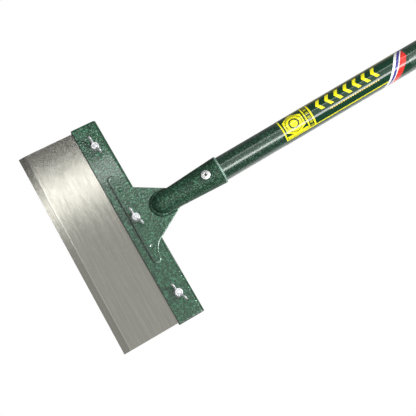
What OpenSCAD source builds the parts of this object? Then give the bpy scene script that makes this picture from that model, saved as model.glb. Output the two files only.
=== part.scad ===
// Long-handled floor scraper: a wide steel blade clamped in a folded holder by
// three bolts with wing nuts, a gusset plate that carries a tapered socket, and
// a tubular steel handle riveted into that socket.
//
// Two frames are used. The handle frame is the part's own: the handle lies along
// +Y, level, with the socket foot at the low end. The head frame is flat on the
// blade: Y runs from the cutting edge to the back, and Z = 0 is the blade's top
// face. place_head() turns the head frame by the handle angle about the foot.

/* [Blade] */
// Width of the cutting edge
blade_width = 300; // [220:5:400]
// How far the blade stands out of its holder
blade_exposed = 80; // [60:1:110]
// Thickness of the blade
blade_thickness = 2.5; // [2:0.1:4]
// Width of the ground bevel along the cutting edge
bevel_width = 10; // [5:0.5:15]
// Thickness left at the cutting edge
edge_land = 0.4; // [0.2:0.1:1]

/* [Blade holder] */
// How far the holder reaches past each end of the blade
holder_overhang = 3; // [1:0.5:10]
// Depth of the holder from its front edge to the fold
holder_depth = 38; // [32:1:60]
// Thickness of the plate that the holder is folded from
holder_plate = 4; // [3:0.5:6]
// Gap left on each face of the blade
blade_gap = 0.1; // [0.05:0.05:0.3]

/* [Gusset plate] */
// Thickness of the gusset plate
gusset_plate_t = 3; // [2:0.5:5]
// Distance from the holder's front edge to the gusset's front edge
gusset_setback = 10; // [6:0.5:14]
// Span over the two ear tips
ear_span = 137; // [120:1:170]
// Width of an ear at its rounded tip
ear_width = 12.4; // [10:0.2:16]
// Half width of the gusset where it leaves the holder's back
flank_half_width = 39.5; // [36:0.5:45]
// Angle between a flank and the middle line
flank_angle = 30; // [26:1:32]
// Radius of the hollow between ear and flank
flank_fillet = 25; // [15:1:28]
// How far the tongue reaches behind the holder
tongue_length = 42; // [38:1:46]
// Distance between the two spot welds
spot_weld_spacing = 90; // [70:1:96]
// Diameter of a spot weld's hollow
spot_weld_diameter = 7; // [5:0.5:9]
// Depth of a spot weld's hollow
spot_weld_depth = 0.7; // [0.3:0.1:1.2]

/* [Socket] */
// Angle between the blade and the handle
handle_angle = 12; // [8:0.5:20]
// Distance from the holder's back to the centre of the socket's foot
foot_setback = 22; // [20:0.5:28]
// Radius of the socket at its foot
foot_radius = 15; // [13:0.5:17]
// Length of the socket from the foot's centre to its mouth
socket_length = 93; // [80:1:120]
// Wall of the socket
socket_wall = 2.5; // [2:0.1:3.5]
// Leg of the weld bead around the foot
weld_leg = 3.5; // [2:0.5:5]
// Length of the straight runs of the weld bead
weld_run = 16; // [8:1:18]

/* [Handle] */
// Outside diameter of the handle tube
tube_diameter = 35; // [32:1:42]
// Wall of the handle tube
tube_wall = 1.6; // [1.2:0.1:2.5]
// Length of the handle tube
tube_length = 1220; // [900:10:1500]
// How far the tube's tapered end goes into the socket
insert_depth = 68; // [50:1:68]
// Length of the end plug inside the tube
plug_length = 24; // [15:1:40]
// Thickness of the end plug's flange
plug_flange = 3; // [2:0.5:6]
// Distance from the socket's mouth to the label
label_offset = 96; // [40:1:200]
// Length of the label
label_length = 200; // [100:5:300]
// Thickness of the label film
label_film = 0.1; // [0.05:0.05:0.4]
// Share of the tube's circumference that the label wraps, as an angle
label_wrap = 300; // [180:10:350]

/* [Rivet] */
// Diameter of the rivet's shank
rivet_diameter = 6.4; // [4.8:0.2:8]
// Diameter of the rivet's flange
rivet_flange = 12.8; // [10:0.2:16]
// Height of the rivet's flange
rivet_flange_h = 2; // [1.2:0.1:3]
// Diameter of the mandrel left in the rivet
mandrel_diameter = 3.6; // [2.4:0.2:4.4]
// Distance from the rivet to the socket's mouth
rivet_setback = 23; // [15:1:35]

/* [Bolts and wing nuts] */
// Thread diameter of the bolts
bolt_diameter = 6; // [5:0.5:8]
// Distance between neighbouring bolts
bolt_spacing = 116; // [90:1:130]
// Diameter of a bolt's cup head
head_diameter = 14; // [12:0.5:18]
// Height of a bolt's cup head
head_height = 3.4; // [2.5:0.1:5]
// Height of a wing nut's hub
hub_height = 8; // [6:0.5:11]
// Wall of the hub at its base
hub_base_wall = 3.3; // [2.5:0.1:5]
// Wall of the hub at its top
hub_top_wall = 2.3; // [1.8:0.1:4]
// Span over a nut's two wings
wing_span = 30; // [26:0.5:40]
// Height of the wing tips over the seat
wing_height = 16.5; // [14:0.5:22]
// Thickness of a wing
wing_thickness = 3; // [1.6:0.1:3.5]
// Length of thread standing out of a tightened nut
thread_proud = 1; // [0.5:0.5:4]

/* [Hidden] */
$fn = 96;

enamel = [0.16, 0.30, 0.21];
steel = [0.66, 0.66, 0.64];
zinc = [0.80, 0.81, 0.82];

fit_gap = 0.1; // between pieces that are welded, riveted or pushed together
seat_gap = 0.1; // under a nut or a bolt head that turns or slides away
thread_gap = 0.05; // radial, between a bolt's thread and its nut
hole_play = 0.3; // radial, between a bolt and the plates it passes through
neck_play = 0.2; // beside a bolt's square neck
neck_short = 0.5; // how far a square neck ends below the lower leaf's inner face
past = 1; // how far a cutting shape reaches past the surface it cuts

// Head frame, Y
holder_front_y = blade_exposed;
holder_back_y = holder_front_y + holder_depth;
bolt_y = holder_front_y + holder_depth / 2;
foot_y = holder_back_y + foot_setback;
gusset_front_y = holder_front_y + gusset_setback;
tongue_end_y = holder_back_y + tongue_length;

// Head frame, Z
holder_width = blade_width + 2 * holder_overhang;
leaf_inner_z = blade_gap;
holder_top_z = leaf_inner_z + holder_plate;
gusset_top_z = holder_top_z + gusset_plate_t;
under_inner_z = -blade_thickness - blade_gap;
holder_bottom_z = under_inner_z - holder_plate;
fold_mid_z = -blade_thickness / 2;
fold_inner_r = blade_thickness / 2 + blade_gap;
fold_outer_r = fold_inner_r + holder_plate;
fold_y = holder_back_y - fold_outer_r;
blade_back_y = fold_y;

// Handle frame
tube_radius = tube_diameter / 2;
mouth_radius = tube_radius + socket_wall;
taper = (mouth_radius - foot_radius) / socket_length;
mouth_clearance = fit_gap * 2;
tube_start_y = socket_length - insert_depth;
tube_end_y = tube_start_y + tube_length;
plug_end_y = tube_end_y + plug_flange;
rivet_y = socket_length - rivet_setback;
rivet_seat_r = foot_radius + taper * rivet_y;
label_y = socket_length + label_offset;

// The part's own frame: the middle of its box, on the surface it lies on
edge_y = -foot_y * cos(handle_angle) - (blade_thickness + gusset_top_z) * sin(handle_angle);
foot_place_y = -(edge_y + plug_end_y) / 2;
axis_z = mouth_radius;

// Bolts and nuts, from left to right: place, how high the seat is, turn of the wings
bolt_x = [-bolt_spacing, 0, bolt_spacing];
nut_seat_z = [holder_top_z, gusset_top_z, holder_top_z];
wing_turn = [10, 13, 17];
bolt_radius = bolt_diameter / 2;
hole_radius = bolt_radius + hole_play;
nut_bore = bolt_radius + thread_gap;
neck_side = 2 * (hole_radius - neck_play);
neck_height = holder_plate - neck_short;

module place_handle() {
    translate([0, foot_place_y, axis_z]) children();
}

module place_head() {
    place_handle()
        rotate([-handle_angle, 0, 0])
            translate([0, -foot_y, -gusset_top_z])
                children();
}

// Turns a shape drawn along +Z so that it runs along the handle
module along_handle() {
    rotate([-90, 0, 0]) children();
}

// Extrudes a side profile, drawn as (Y, Z), across the head, centred on X = 0
module across(width) {
    translate([-width / 2, 0, 0])
        rotate([90, 0, 90])
            linear_extrude(width)
                children();
}

// ---- Blade -----------------------------------------------------------------

module blade_profile() {
    polygon([
        [0, -blade_thickness],
        [blade_back_y, -blade_thickness],
        [blade_back_y, 0],
        [bevel_width, 0],
        [0, edge_land - blade_thickness]
    ]);
}

// A slot that is open at the blade's back, so the blade draws out past the bolt
module blade_slot(x) {
    slot_height = blade_thickness + 2 * past;
    translate([x, bolt_y, -blade_thickness - past]) {
        cylinder(h = slot_height, r = hole_radius);
        translate([-hole_radius, 0, 0])
            cube([2 * hole_radius, blade_back_y - bolt_y + past, slot_height]);
    }
}

module blade() {
    color(steel)
        place_head()
            difference() {
                across(blade_width) blade_profile();
                for (x = bolt_x) blade_slot(x);
            }
}

// ---- Blade holder: one plate folded over the blade's back edge ---------------

module fold_outline(radius, front_y) {
    translate([front_y, fold_mid_z - radius]) square([fold_y - front_y, 2 * radius]);
    translate([fold_y, fold_mid_z]) circle(r = radius);
}

module bolt_holes() {
    for (x = bolt_x) translate([x, bolt_y, fold_mid_z]) {
        cylinder(h = holder_plate + fold_outer_r, r = hole_radius);
        translate([-neck_side / 2 - fit_gap, -neck_side / 2 - fit_gap, -fold_outer_r - past])
            cube([neck_side + 2 * fit_gap, neck_side + 2 * fit_gap, fold_outer_r + past]);
    }
}

module blade_holder() {
    color(enamel)
        place_head()
            difference() {
                across(holder_width)
                    difference() {
                        fold_outline(fold_outer_r, holder_front_y);
                        fold_outline(fold_inner_r, holder_front_y - past);
                    }
                bolt_holes();
            }
}

// ---- Gusset plate ------------------------------------------------------------

ear_radius = ear_width / 2;
ear_x = ear_span / 2 - ear_radius;
ear_back_y = gusset_front_y + ear_width;

// X of the straight flank at a given Y
function flank_x(y) = flank_half_width - (y - holder_back_y) * tan(flank_angle);

// The hollow's arc touches the ear's back line and the flank
fillet_y = ear_back_y + flank_fillet;
fillet_x = flank_x(fillet_y) + flank_fillet / cos(flank_angle);

module gusset_half() {
    difference() {
        polygon([
            [0, gusset_front_y],
            [ear_x, gusset_front_y],
            [ear_x, ear_back_y],
            [fillet_x, ear_back_y],
            [fillet_x, fillet_y],
            [fillet_x - flank_fillet * cos(flank_angle), fillet_y - flank_fillet * sin(flank_angle)],
            [flank_x(tongue_end_y), tongue_end_y],
            [0, tongue_end_y]
        ]);
        translate([fillet_x, fillet_y]) circle(r = flank_fillet);
    }
    translate([ear_x, gusset_front_y + ear_radius]) circle(r = ear_radius);
}

// Radius of the ball that leaves a hollow of the given width and depth
function dish_radius(width, depth) = (width * width / 4 + depth * depth) / (2 * depth);

module spot_weld(x) {
    ball = dish_radius(spot_weld_diameter, spot_weld_depth);
    translate([x, bolt_y, gusset_top_z - spot_weld_depth + ball]) sphere(r = ball);
}

module gusset_plate() {
    color(enamel)
        place_head()
            difference() {
                translate([0, 0, holder_top_z])
                    linear_extrude(gusset_plate_t) {
                        gusset_half();
                        mirror([1, 0]) gusset_half();
                    }
                translate([0, bolt_y, holder_top_z - past])
                    cylinder(h = gusset_plate_t + 2 * past, r = hole_radius);
                for (side = [-1, 1]) spot_weld(side * spot_weld_spacing / 2);
            }
}

// ---- Socket --------------------------------------------------------------------

// A round foot below Y = 0 that runs into a cone above it. grow moves the surface out
module socket_form(radius, length, grow = 0) {
    foot = radius + grow;
    along_handle()
        rotate_extrude() {
            intersection() {
                circle(r = foot);
                translate([0, -2 * foot]) square([2 * foot, 2 * foot]);
            }
            polygon([[0, 0], [foot, 0], [foot + taper * length, length], [0, length]]);
        }
}

// The saw cut that takes the gusset's tongue
module tongue_slot() {
    translate([-mouth_radius, 0, holder_top_z - fit_gap])
        cube([2 * mouth_radius, tongue_end_y + fit_gap, gusset_plate_t + 2 * fit_gap]);
}

module socket() {
    color(enamel)
        difference() {
            place_handle()
                difference() {
                    socket_form(foot_radius, socket_length);
                    socket_form(foot_radius - socket_wall + mouth_clearance, socket_length + past);
                    translate([0, rivet_y, 0])
                        cylinder(h = 2 * mouth_radius, r = rivet_diameter / 2 + fit_gap);
                }
            place_head() tongue_slot();
        }
}

// Round bead along the foot's front half and down both sides. It lies on the
// plane Z = 0, on the side that up gives, and is cut back to the socket's surface
module weld_bead(up) {
    intersection() {
        union() {
            rotate([0, 0, 180])
                rotate_extrude(angle = 180)
                    translate([foot_radius, 0]) circle(r = weld_leg);
            for (side = [-1, 1]) translate([side * foot_radius, 0, 0]) {
                rotate([-90, 0, 0]) cylinder(h = weld_run, r = weld_leg);
                translate([0, weld_run, 0]) sphere(r = weld_leg);
            }
        }
        translate([-2 * foot_radius, -2 * foot_radius, up > 0 ? 0 : -2 * weld_leg])
            cube([4 * foot_radius, 4 * foot_radius + weld_run, 2 * weld_leg]);
    }
}

module socket_weld(plane_z, up) {
    color(enamel)
        difference() {
            place_head() translate([0, foot_y, plane_z]) weld_bead(up);
            place_handle() socket_form(foot_radius, socket_length, fit_gap);
        }
}

module socket_weld_upper() {
    socket_weld(gusset_top_z, 1);
}

module socket_weld_lower() {
    socket_weld(holder_top_z, -1);
}

// ---- Handle --------------------------------------------------------------------

module tube_profile() {
    end_radius = tube_radius - taper * insert_depth;
    polygon([
        [end_radius - tube_wall, tube_start_y],
        [end_radius, tube_start_y],
        [tube_radius, socket_length],
        [tube_radius, tube_end_y],
        [tube_radius - tube_wall, tube_end_y],
        [tube_radius - tube_wall, socket_length]
    ]);
}

module handle_tube() {
    color(enamel)
        place_handle()
            difference() {
                along_handle() rotate_extrude() tube_profile();
                translate([0, rivet_y, 0])
                    cylinder(h = 2 * mouth_radius, r = rivet_diameter / 2 + fit_gap);
            }
}

// A push-in plug: flange, hollow shank and two ribs that grip the tube
module handle_end_plug() {
    shank_clearance = 0.6;
    shank_wall = 2.4;
    rib_width = 2;
    rib_pitch = plug_length / 3;
    shank_radius = tube_radius - tube_wall - shank_clearance;
    rib_radius = tube_radius - tube_wall - fit_gap;
    color([0.05, 0.05, 0.05])
        place_handle()
            along_handle()
                difference() {
                    union() {
                        translate([0, 0, tube_end_y]) cylinder(h = plug_flange, r = tube_radius);
                        translate([0, 0, tube_end_y - plug_length])
                            cylinder(h = plug_length, r = shank_radius);
                        for (i = [1, 2])
                            translate([0, 0, tube_end_y - i * rib_pitch])
                                cylinder(h = rib_width, r = rib_radius);
                    }
                    translate([0, 0, tube_end_y - plug_length - past])
                        cylinder(h = plug_length + past, r = shank_radius - shank_wall);
                }
}

// The film is open underneath, where its two ends nearly meet
module handle_label() {
    color([0.08, 0.22, 0.14])
        place_handle()
            along_handle()
                translate([0, 0, label_y])
                    rotate([0, 0, -90 - label_wrap / 2])
                        rotate_extrude(angle = label_wrap)
                            translate([tube_radius + fit_gap, 0])
                                square([label_film, label_length]);
}

// ---- Rivet ---------------------------------------------------------------------

bulge_h = 2.5; // height of the bulge that the set rivet leaves inside the tube
bulge_overhang = 1.4; // radial, past the shank
bulge_drop = 1; // between the tube's inside and the bulge
mandrel_recess = 1;
tube_inner_r_at_rivet = tube_radius - taper * rivet_setback - tube_wall;
rivet_bottom_z = tube_inner_r_at_rivet - bulge_h - bulge_drop;
flange_top_z = rivet_seat_r + rivet_flange_h;

// A low dome on a short rim. It reaches below the seat, for the socket's curve
module rivet_flange_form() {
    rim_share = 0.35;
    below_seat = 3;
    rim_h = rivet_flange_h * rim_share;
    dome = dish_radius(rivet_flange, rivet_flange_h - rim_h);
    intersection() {
        translate([0, 0, flange_top_z - dome]) sphere(r = dome);
        cylinder(h = 2 * flange_top_z, r = rivet_flange / 2);
        translate([-rivet_flange, -rivet_flange, rivet_seat_r - below_seat])
            cube([2 * rivet_flange, 2 * rivet_flange, below_seat + rivet_flange_h]);
    }
}

module handle_rivet() {
    color(zinc)
        place_handle()
            difference() {
                union() {
                    difference() {
                        translate([0, rivet_y, 0]) rivet_flange_form();
                        socket_form(foot_radius, socket_length, fit_gap);
                    }
                    translate([0, rivet_y, rivet_bottom_z]) {
                        cylinder(h = rivet_seat_r - rivet_bottom_z + past, r = rivet_diameter / 2);
                        cylinder(h = bulge_h, r = rivet_diameter / 2 + bulge_overhang);
                    }
                }
                translate([0, rivet_y, 0])
                    cylinder(h = 2 * flange_top_z, r = mandrel_diameter / 2);
            }
}

module rivet_mandrel() {
    head_h = 2;
    color([0.25, 0.24, 0.24])
        place_handle()
            translate([0, rivet_y, 0]) {
                translate([0, 0, rivet_bottom_z - head_h])
                    cylinder(h = flange_top_z - mandrel_recess - rivet_bottom_z + head_h,
                        r = mandrel_diameter / 2 - fit_gap);
                translate([0, 0, rivet_bottom_z - head_h])
                    cylinder(h = head_h - fit_gap, r = rivet_diameter / 2);
            }
}

// ---- Bolts and wing nuts -------------------------------------------------------

// Cup head, square neck in the lower leaf, and a threaded shank through the nut
module bolt(i) {
    tip_share = 0.2;
    seat_z = holder_bottom_z - seat_gap;
    end_z = nut_seat_z[i] + seat_gap + hub_height + thread_proud;
    tip = bolt_radius * tip_share;
    cup = dish_radius(head_diameter, head_height);
    color(zinc)
        place_head()
            translate([bolt_x[i], bolt_y, 0]) {
                intersection() {
                    translate([0, 0, seat_z - head_height + cup]) sphere(r = cup);
                    translate([0, 0, seat_z - head_height])
                        cylinder(h = head_height, r = head_diameter / 2);
                }
                translate([-neck_side / 2, -neck_side / 2, seat_z])
                    cube([neck_side, neck_side, neck_height]);
                translate([0, 0, seat_z]) cylinder(h = end_z - tip - seat_z, r = bolt_radius);
                translate([0, 0, end_z - tip])
                    cylinder(h = tip, r1 = bolt_radius, r2 = bolt_radius - tip);
            }
}

// One wing, leaning outwards from the hub to a round lobe
module wing_outline() {
    lobe_share = 0.26;
    root_z = 1;
    shoulder = 0.5;
    lobe = wing_height * lobe_share;
    lobe_x = wing_span / 2 - lobe;
    lobe_z = wing_height - lobe;
    lean = atan2(lobe_z - hub_height / 2, lobe_x);
    polygon([
        [bolt_radius, root_z],
        [lobe_x + lobe * sin(lean), lobe_z - lobe * cos(lean)],
        [lobe_x - lobe * sin(lean), lobe_z + lobe * cos(lean)],
        [bolt_radius, hub_height - shoulder]
    ]);
    translate([lobe_x, lobe_z]) circle(r = lobe);
}

module wing_nut(i) {
    color(zinc)
        place_head()
            translate([bolt_x[i], bolt_y, nut_seat_z[i] + seat_gap])
                rotate([0, 0, wing_turn[i]])
                    difference() {
                        union() {
                            cylinder(h = hub_height, r1 = nut_bore + hub_base_wall,
                                r2 = nut_bore + hub_top_wall);
                            for (turn = [0, 180])
                                rotate([90, 0, turn])
                                    translate([0, 0, -wing_thickness / 2])
                                        linear_extrude(wing_thickness)
                                            wing_outline();
                        }
                        translate([0, 0, -past]) cylinder(h = hub_height + 2 * past, r = nut_bore);
                    }
}

blade();
blade_holder();
gusset_plate();
socket();
socket_weld_upper();
socket_weld_lower();
handle_tube();
handle_end_plug();
handle_label();
handle_rivet();
rivet_mandrel();
bolt(0);  // bolt_left
bolt(1);  // bolt_middle
bolt(2);  // bolt_right
wing_nut(0);  // wing_nut_left
wing_nut(1);  // wing_nut_middle
wing_nut(2);  // wing_nut_right
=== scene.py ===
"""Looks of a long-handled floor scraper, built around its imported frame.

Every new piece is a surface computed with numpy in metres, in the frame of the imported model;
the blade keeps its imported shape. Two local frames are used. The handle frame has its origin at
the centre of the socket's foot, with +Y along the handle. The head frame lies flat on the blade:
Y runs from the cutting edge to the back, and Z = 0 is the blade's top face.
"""

import logging
import math
from dataclasses import dataclass, field
from enum import Enum
from typing import Callable, Sequence, Union

import bmesh
import bpy
import numpy as np
from mathutils import Matrix, Vector
from numpy.typing import NDArray


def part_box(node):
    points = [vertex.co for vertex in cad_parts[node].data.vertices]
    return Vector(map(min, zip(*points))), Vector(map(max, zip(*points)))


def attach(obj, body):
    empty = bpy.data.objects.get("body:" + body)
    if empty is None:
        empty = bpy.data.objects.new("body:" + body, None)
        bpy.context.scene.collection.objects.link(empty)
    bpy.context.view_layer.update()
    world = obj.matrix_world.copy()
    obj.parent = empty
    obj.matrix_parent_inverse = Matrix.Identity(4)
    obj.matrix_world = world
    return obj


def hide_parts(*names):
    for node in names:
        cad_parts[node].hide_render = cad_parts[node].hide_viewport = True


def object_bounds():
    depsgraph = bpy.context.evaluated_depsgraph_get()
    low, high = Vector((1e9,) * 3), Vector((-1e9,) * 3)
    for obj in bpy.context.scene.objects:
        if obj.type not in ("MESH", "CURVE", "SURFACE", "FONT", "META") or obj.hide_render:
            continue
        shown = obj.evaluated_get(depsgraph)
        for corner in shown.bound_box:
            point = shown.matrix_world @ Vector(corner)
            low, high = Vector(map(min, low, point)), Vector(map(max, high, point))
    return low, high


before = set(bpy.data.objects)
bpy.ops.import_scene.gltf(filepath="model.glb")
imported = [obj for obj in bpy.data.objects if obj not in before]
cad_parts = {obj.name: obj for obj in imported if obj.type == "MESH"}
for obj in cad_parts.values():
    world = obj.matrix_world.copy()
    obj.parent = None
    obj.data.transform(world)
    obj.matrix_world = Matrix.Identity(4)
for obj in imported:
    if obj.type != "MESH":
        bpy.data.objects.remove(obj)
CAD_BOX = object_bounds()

log = logging.getLogger("floor_scraper")

Array = NDArray[np.float64]
Triple = tuple[float, float, float]
Colour = Triple
Span = tuple[float, float]
MM = 0.001
FULL_TURN = 2 * math.pi
QUARTER = math.pi / 2
CLOSE = 1e-7  # points nearer than this are one point
CREASE = math.radians(35)  # edges that turn by more than this stay sharp
LABEL_LENGTH = 200 * MM
LABEL_WRAP = math.radians(300)
LABEL_UNDER = 17.6 * MM  # radius of the film's inner face
LABEL_FILM = 0.1 * MM


# ---- Surfaces ----


def turned(count: int) -> Array:
    """Equal angles round a full turn, without the last one that would repeat the first."""
    return np.linspace(0.0, FULL_TURN, count, endpoint=False)


def joined(*parts: Array | float) -> Array:
    """Points from their coordinates, each part stretched to the shape that all of them share."""
    return np.stack(np.broadcast_arrays(*parts), -1)


def around(radius: Array | float, angle: Array, height: Array | float) -> Array:
    """Points about Z: (radius cos, radius sin, height)."""
    return joined(radius * np.cos(angle), radius * np.sin(angle), height)


def spun(p: Array, angle: float) -> Array:
    """Points turned about Z."""
    c, s = math.cos(angle), math.sin(angle)
    return p @ np.array([[c, -s, 0], [s, c, 0], [0, 0, 1]]).T


def filleted(corners: Sequence[Sequence[float]], radii: Sequence[float], steps: int = 7) -> Array:
    """A closed outline with round corners.

    At a corner P with unit vectors a and b towards its neighbours, the arc's centre lies on the
    bisector at radius / sin(half angle), and the arc runs between the two tangent points as a
    spherical blend of their directions from the centre.

    Args:
        corners: The corner points, in order.
        radii: One radius for each corner.
        steps: Points on each arc.

    Returns:
        The outline's points, steps of them for each corner.
    """
    p = np.array(corners, float)
    r = np.maximum(np.array(radii, float), 1e-9)[:, None]
    a = np.roll(p, 1, 0) - p
    b = np.roll(p, -1, 0) - p
    a /= np.linalg.norm(a, axis=1, keepdims=True)
    b /= np.linalg.norm(b, axis=1, keepdims=True)
    half = np.arccos(np.clip((a * b).sum(1, keepdims=True), -1, 1)) / 2
    bisector = (a + b) / np.linalg.norm(a + b, axis=1, keepdims=True)
    centre = p + bisector * r / np.sin(half)
    start = p + a * r / np.tan(half) - centre
    end = p + b * r / np.tan(half) - centre
    sweep = (math.pi - 2 * half)[:, None, :]
    k = np.linspace(0, 1, steps)[None, :, None]
    arc = np.sin((1 - k) * sweep) * start[:, None] + np.sin(k * sweep) * end[:, None]
    return (centre[:, None] + arc / np.sin(sweep)).reshape(-1, 2)


def resampled(outline: Array, spacing: float) -> Array:
    """A closed outline with extra points, so that none of its steps is longer than spacing."""
    loop = np.vstack([outline, outline[:1]])
    length = np.linalg.norm(np.diff(loop, axis=0), axis=1)
    counts = np.maximum(np.ceil(length / spacing).astype(int), 1)
    step = np.repeat(np.arange(len(outline)), counts)
    share = (np.arange(counts.sum()) - np.repeat(np.cumsum(counts) - counts, counts)) / counts[step]
    return loop[step] + (loop[step + 1] - loop[step]) * share[:, None]


def inwards(outline: Array) -> Array:
    """Unit vectors that point into a closed, anticlockwise outline: the tangent turned left."""
    tangent = np.roll(outline, -1, 0) - np.roll(outline, 1, 0)
    normal = np.stack([-tangent[:, 1], tangent[:, 0]], -1)
    return normal / np.maximum(np.linalg.norm(normal, axis=1, keepdims=True), 1e-12)


def lathe(profile: Array, turns: int = 96) -> Array:
    """A surface of revolution about Z: profile point i, (radius, z), at angle j."""
    return around(profile[:, :1], turned(turns)[None, :], profile[:, 1:])


def pin(radius: float, low: float, high: float, turns: int) -> Array:
    """A closed cylinder about Z, or a prism with as many sides as turns."""
    return lathe(np.array([[0, low], [radius, low], [radius, high], [0, high]]), turns)


def quarter(radius: float, steps: int) -> tuple[Array, Array]:
    """Inset and drop of a rounded edge: 0 to radius, along a quarter circle from the face."""
    angle = np.linspace(0, QUARTER, steps)
    return radius * (1 - np.sin(angle)), radius * (1 - np.cos(angle))


@dataclass
class Shell:
    """Grids of points that are joined into one mesh."""

    points: list[Array] = field(default_factory=list)
    quads: list[NDArray[np.int64]] = field(default_factory=list)
    uvs: list[Array] = field(default_factory=list)
    count: int = 0

    def grid(self, p: Array, loop_rows: bool = False, loop_columns: bool = False,
             uv: Array | None = None) -> "Shell":
        """Adds one grid.

        Args:
            p: Points, as rows x columns x 3.
            loop_rows: Whether the last row joins the first.
            loop_columns: Whether the last column joins the first.
            uv: Texture places, as rows x columns x 2.

        Returns:
            The shell itself.
        """
        rows, columns = p.shape[:2]
        i, j = np.meshgrid(np.arange(rows if loop_rows else rows - 1),
                           np.arange(columns if loop_columns else columns - 1), indexing="ij")
        below, beside = (i + 1) % rows, (j + 1) % columns
        quads = np.stack([i * columns + j, i * columns + beside,
                          below * columns + beside, below * columns + j], -1)
        self.points.append(p.reshape(-1, 3))
        self.quads.append(quads.reshape(-1, 4) + self.count)
        self.uvs.append(np.zeros((rows * columns, 2)) if uv is None else uv.reshape(-1, 2))
        self.count += rows * columns
        return self

    def moved(self, place: Callable[[Array], Array]) -> "Shell":
        """Carries every point through place, a function from points to points."""
        self.points = [place(p) for p in self.points]
        return self

    def join(self, other: "Shell") -> "Shell":
        """Takes in another shell's grids."""
        self.points += other.points
        self.quads += [quads + self.count for quads in other.quads]
        self.uvs += other.uvs
        self.count += other.count
        return self

    def mesh(self, name: str, crease: float = CREASE, outwards: bool = True) -> bpy.types.Mesh:
        """Makes the mesh.

        Points that lie together become one, so that seams and poles are closed, and a quad that
        loses a corner becomes a triangle.

        Args:
            name: The mesh's name.
            crease: Edges that turn by more than this angle stay sharp.
            outwards: Whether the faces are turned to point outwards.

        Returns:
            The new mesh.
        """
        points, quads = np.vstack(self.points), np.vstack(self.quads)
        uv = np.vstack(self.uvs)
        keys = np.round(points / CLOSE).astype(np.int64)
        _, first, merged = np.unique(keys, axis=0, return_index=True, return_inverse=True)
        corner = merged.reshape(-1)[quads]
        kept = corner != np.roll(corner, -1, 1)
        solid = (kept.sum(1) >= 3) & (corner[:, :2] != corner[:, 2:]).all(1)
        kept &= solid[:, None]
        totals = kept.sum(1)[solid]
        mesh = bpy.data.meshes.new(name)
        mesh.vertices.add(len(first))
        mesh.vertices.foreach_set("co", points[first].ravel())
        mesh.loops.add(int(totals.sum()))
        mesh.loops.foreach_set("vertex_index", corner[kept])
        mesh.polygons.add(len(totals))
        mesh.polygons.foreach_set("loop_start", np.cumsum(totals) - totals)
        mesh.update(calc_edges=True)
        if uv.any():
            mesh.uv_layers.new(name="UVMap").data.foreach_set("uv", uv[quads[kept]].ravel())
        mesh.validate()
        if outwards:
            face_out(mesh)
        mesh.shade_smooth()
        mesh.set_sharp_from_angle(angle=crease)
        return mesh


def face_out(mesh: bpy.types.Mesh) -> None:
    """Turns every face of a closed mesh outwards."""
    work = bmesh.new()
    work.from_mesh(mesh)
    bmesh.ops.recalc_face_normals(work, faces=work.faces)
    work.to_mesh(mesh)
    work.free()


def stood(name: str, shell: Shell, crease: float = CREASE,
          outwards: bool = True) -> bpy.types.Object:
    """A new object for a shell, at the origin."""
    made = bpy.data.objects.new(name, shell.mesh(name, crease, outwards))
    bpy.context.scene.collection.objects.link(made)
    return made


def coordinates(mesh: bpy.types.Mesh) -> Array:
    """The mesh's points, as rows of three."""
    flat = np.empty(3 * len(mesh.vertices))
    mesh.vertices.foreach_get("co", flat)
    return flat.reshape(-1, 3)


def marked(mesh: bpy.types.Mesh, value: Array) -> None:
    """Writes one number per point as the attribute rim: about 0.5 gets a painted highlight, -1
    painted shade.
    """
    mark = mesh.attributes.new("rim", "FLOAT", "POINT")
    mark.data.foreach_set("value", value)


def finished(made: bpy.types.Object) -> bpy.types.Object:
    """Applies the object's modifiers: its mesh becomes what they give."""
    graph = bpy.context.evaluated_depsgraph_get()
    mesh = bpy.data.meshes.new_from_object(made.evaluated_get(graph))
    made.modifiers.clear()
    made.data = mesh
    return made


def cut(made: bpy.types.Object, tool: Shell) -> bpy.types.Object:
    """Takes the tool's closed shells out of the object."""
    cutter = stood("cutter", tool)
    carve = made.modifiers.new("Carve", "BOOLEAN")
    carve.operation = "DIFFERENCE"
    carve.solver = "EXACT"
    carve.object = cutter
    finished(made)
    bpy.data.objects.remove(cutter)
    made.data.shade_smooth()
    made.data.set_sharp_from_angle(angle=CREASE)
    return made


# ---- Shader graphs ----


@dataclass(frozen=True)
class Signal:
    """A node's output. Arithmetic on it adds Math nodes."""

    graph: "Graph"
    socket: bpy.types.NodeSocket

    def math(self, operation: str, *others: "Value") -> "Signal":
        """One Math node with this signal first."""
        inputs = dict(enumerate((self, *others)))
        return self.graph.node("ShaderNodeMath", {"operation": operation}, inputs)

    def __add__(self, other: "Value") -> "Signal":
        """Sum."""
        return self.math("ADD", other)

    def __sub__(self, other: "Value") -> "Signal":
        """Difference."""
        return self.math("SUBTRACT", other)

    def __rsub__(self, other: "Value") -> "Signal":
        """A number less this signal."""
        return self.graph.node("ShaderNodeMath", {"operation": "SUBTRACT"}, {0: other, 1: self})

    def __mul__(self, other: "Value") -> "Signal":
        """Product."""
        return self.math("MULTIPLY", other)

    def __truediv__(self, other: "Value") -> "Signal":
        """Quotient."""
        return self.math("DIVIDE", other)

    __radd__ = __add__
    __rmul__ = __mul__

    def abs(self) -> "Signal":
        """Size without sign."""
        return self.math("ABSOLUTE")

    def clamped(self) -> "Signal":
        """Kept between 0 and 1."""
        return self.math("MAXIMUM", 0.0).math("MINIMUM", 1.0)

    def wrapped(self, pitch: float) -> "Signal":
        """What is left over after whole pitches."""
        return (self / pitch).math("FRACT") * pitch

    def step(self, low: float, high: float) -> "Signal":
        """0 at low and 1 at high, on a straight line between them; low may be the larger."""
        return ((self - low) / (high - low)).clamped()

    def band(self, low: "Value", high: "Value", soft: float) -> "Signal":
        """1 between low and high and 0 outside, with edges as wide as soft."""
        rise = ((self - low) / soft + 0.5).clamped()
        fall = ((high - self) / soft + 0.5).clamped()
        return rise * fall


Value = Union[float, Signal]


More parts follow.
